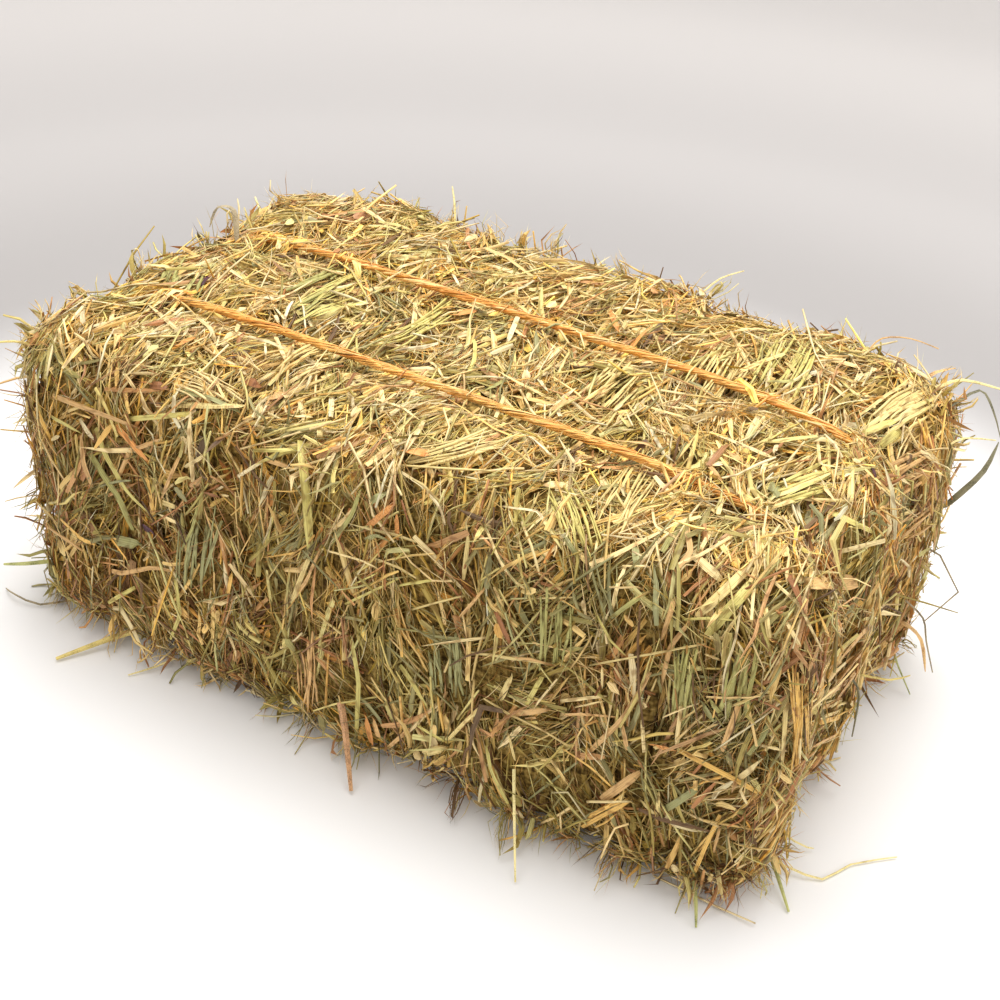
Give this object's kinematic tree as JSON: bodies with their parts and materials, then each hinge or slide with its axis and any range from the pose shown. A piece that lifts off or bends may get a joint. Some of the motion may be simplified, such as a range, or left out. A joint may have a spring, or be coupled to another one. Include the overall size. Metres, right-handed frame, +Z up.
{
  "type": "square hay bale",
  "caption": "Small square bale of pressed meadow hay, made of flakes laid side by side and tied lengthwise with twine, with loose stalks standing out.",
  "frame": {"origin": "middle of the face that the bale rests on", "axes": "+X along the bale towards the end without knots, +Y across it, +Z up"},
  "size_m": [0.5616, 0.3719, 0.2072],
  "materials": {
    "hay": "pressed dry meadow grass, matt, mixed straw yellow, olive and brown",
    "straw": "dry hollow grass stem, faintly shiny",
    "leaf": "dry folded grass leaf, matt",
    "twine": "orange fibrous baling twine, split into fine strands"
  },
  "bodies": {
    "root": {"arched_stem": "straw", "back_leaf": "leaf", "back_reed": "straw", "back_stalk": "straw", "back_stem": "straw", "back_straw": "straw", "back_wisp": "straw", "brown_bit": "leaf", "corner_stem": "straw", "corner_wisp": "straw", "curled_leaf": "leaf", "curled_stem": "straw", "drooping_stem": "straw", "far_floor_stem": "straw", "far_leaf": "leaf", "far_stalk": "straw", "far_stem": "straw", "far_straw": "straw", "flake_1": "hay", "flake_2": "hay", "flake_3": "hay", "flake_4": "hay", "flake_5": "hay", "flake_6": "hay", "flake_7": "hay", "flake_8": "hay", "flake_9": "hay", "floor_stem": "straw", "foot_blade": "straw", "forked_stem": "straw", "green_blade": "straw", "hanging_stalk": "straw", "hooked_blade": "straw", "kinked_stem": "straw", "low_stem": "straw", "olive_blade": "leaf", "olive_leaf": "leaf", "reed": "straw", "resting_stalk": "straw", "side_stem": "straw", "side_straw": "straw", "tan_leaf": "leaf", "thin_stem": "straw", "top_wisp": "straw", "twine_1": "twine", "twine_2": "twine", "wiry_stem": "straw"}
  },
  "joints": []
}
